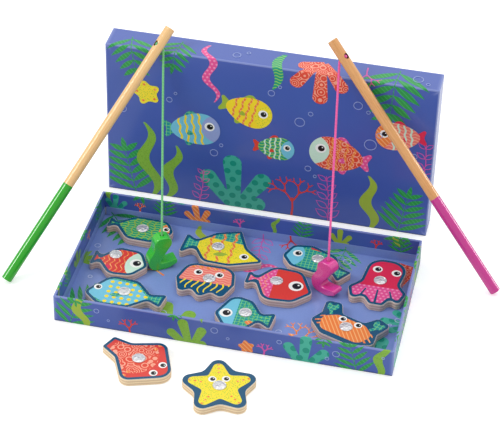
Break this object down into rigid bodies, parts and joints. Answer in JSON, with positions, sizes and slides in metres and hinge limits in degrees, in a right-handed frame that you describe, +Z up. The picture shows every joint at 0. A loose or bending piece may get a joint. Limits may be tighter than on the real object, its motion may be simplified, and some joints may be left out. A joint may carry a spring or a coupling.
{
  "type": "magnetic fishing game",
  "caption": "Magnetic fishing game: open tray of wooden sea creatures with steel caps, lid stood behind, and rods whose lines end in magnetic plastic hooks.",
  "frame": {"origin": "centre of the tray's underside, on the surface the set stands on", "axes": "+X along the tray's length, +Y to the back where the lid stands, +Z up"},
  "size_m": [0.4507, 0.3219, 0.2045],
  "materials": {
    "wrapped_board": "rigid board wrapped in printed satin paper",
    "liner_card": "printed uncoated card",
    "print": "printing ink on satin wrap paper, many colours",
    "plywood": "fretsawn birch plywood, bare sanded edge",
    "label": "printed satin paper label, glued on",
    "cap_steel": "hammered, low dome",
    "rod_wood": "turned hardwood dowel, clear lacquer, dipped gloss handle",
    "green_plastic": "moulded, satin gloss",
    "pink_plastic": "moulded, satin gloss",
    "green_cord": "twisted cotton string",
    "pink_cord": "twisted cotton string",
    "magnet": "sintered ferrite, dull"
  },
  "bodies": {
    "root": {"tray": "wrapped_board", "tray_liner": "liner_card", "lid": "wrapped_board", "tray_print": "print", "liner_print": "print", "lid_print": "print", "sole_wood": "plywood", "sole_label": "label", "sole_cap": "cap_steel", "perch_wood": "plywood", "perch_label": "label", "perch_cap": "cap_steel", "wrasse_wood": "plywood", "wrasse_label": "label", "wrasse_cap": "cap_steel", "angelfish_wood": "plywood", "angelfish_label": "label", "angelfish_cap": "cap_steel", "jellyfish_wood": "plywood", "jellyfish_label": "label", "jellyfish_cap": "cap_steel", "puffer_wood": "plywood", "puffer_label": "label", "puffer_cap": "cap_steel", "damsel_wood": "plywood", "damsel_label": "label", "damsel_cap": "cap_steel", "octopus_wood": "plywood", "octopus_label": "label", "octopus_cap": "cap_steel", "crab_wood": "plywood", "crab_label": "label", "crab_cap": "cap_steel", "chromis_wood": "plywood", "chromis_label": "label", "chromis_cap": "cap_steel", "ray_wood": "plywood", "ray_label": "label", "ray_cap": "cap_steel", "starfish_wood": "plywood", "starfish_label": "label", "starfish_cap": "cap_steel", "green_rod": "rod_wood", "green_string": "green_cord", "green_knot": "green_cord", "green_hook": "green_plastic", "green_magnet": "magnet", "pink_rod": "rod_wood", "pink_string": "pink_cord", "pink_knot": "pink_cord", "pink_hook": "pink_plastic", "pink_magnet": "magnet"}
  },
  "joints": []
}
